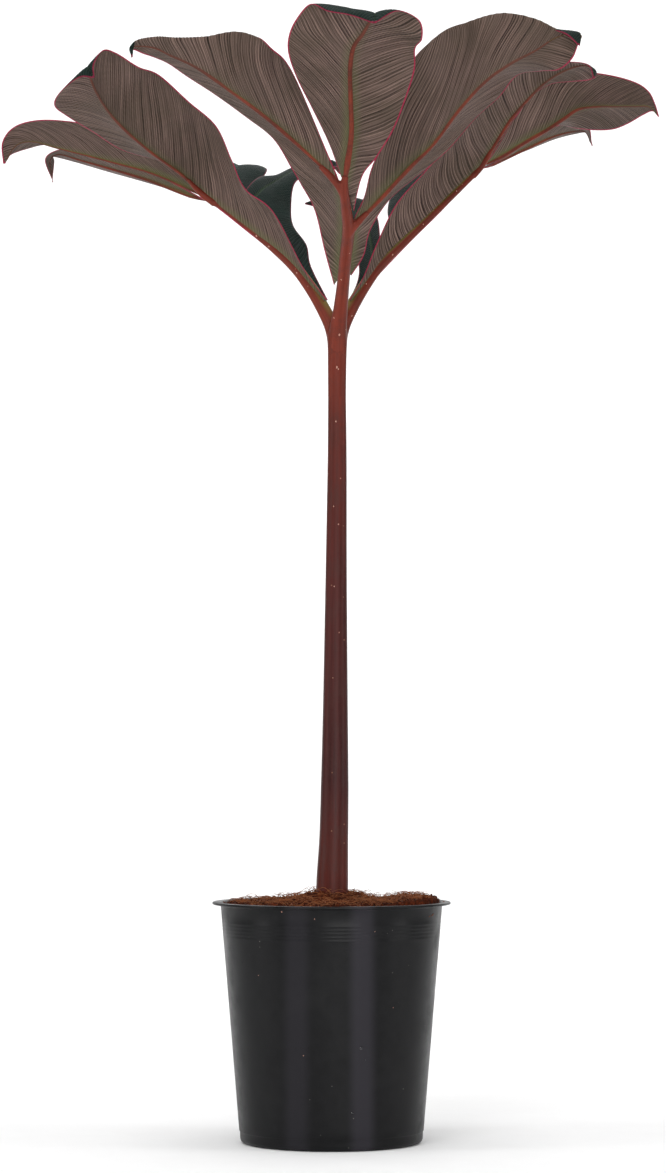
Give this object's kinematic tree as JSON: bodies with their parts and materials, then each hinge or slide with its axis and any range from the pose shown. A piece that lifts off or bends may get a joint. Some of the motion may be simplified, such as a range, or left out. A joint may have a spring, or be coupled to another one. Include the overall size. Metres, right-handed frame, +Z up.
{
  "type": "potted amorphophallus atroviridis plant",
  "caption": "Tall aroid in a tapered black plastic nursery pot: one dark stalk from coir soil divides into three branches with broad dark leaflets that end in drip tips.",
  "frame": {"origin": "centre of the pot's flat underside", "axes": "+Z up along the pot's axis; the front of the plant, as pictured, looks along -Y; +X to the right"},
  "size_m": [0.4807, 0.4476, 0.779],
  "materials": {
    "pot_plastic": "moulded black polypropylene with a soft satin sheen",
    "coir": null,
    "tuber_skin": null,
    "stalk_skin": null,
    "leaf_blade": null
  },
  "bodies": {
    "root": {"pot": "pot_plastic", "soil": "coir", "tuber": "tuber_skin", "stalk": "stalk_skin", "leaflet_front_middle": "leaf_blade", "leaflet_front_left": "leaf_blade", "leaflet_front_right": "leaf_blade", "leaflet_left_upper": "leaf_blade", "leaflet_left_outer": "leaf_blade", "leaflet_left_under": "leaf_blade", "leaflet_left_rear": "leaf_blade", "leaflet_left_inner": "leaf_blade", "leaflet_right_upper": "leaf_blade", "leaflet_right_outer": "leaf_blade", "leaflet_right_under": "leaf_blade", "leaflet_right_inner": "leaf_blade", "leaflet_right_rear": "leaf_blade"}
  },
  "joints": []
}
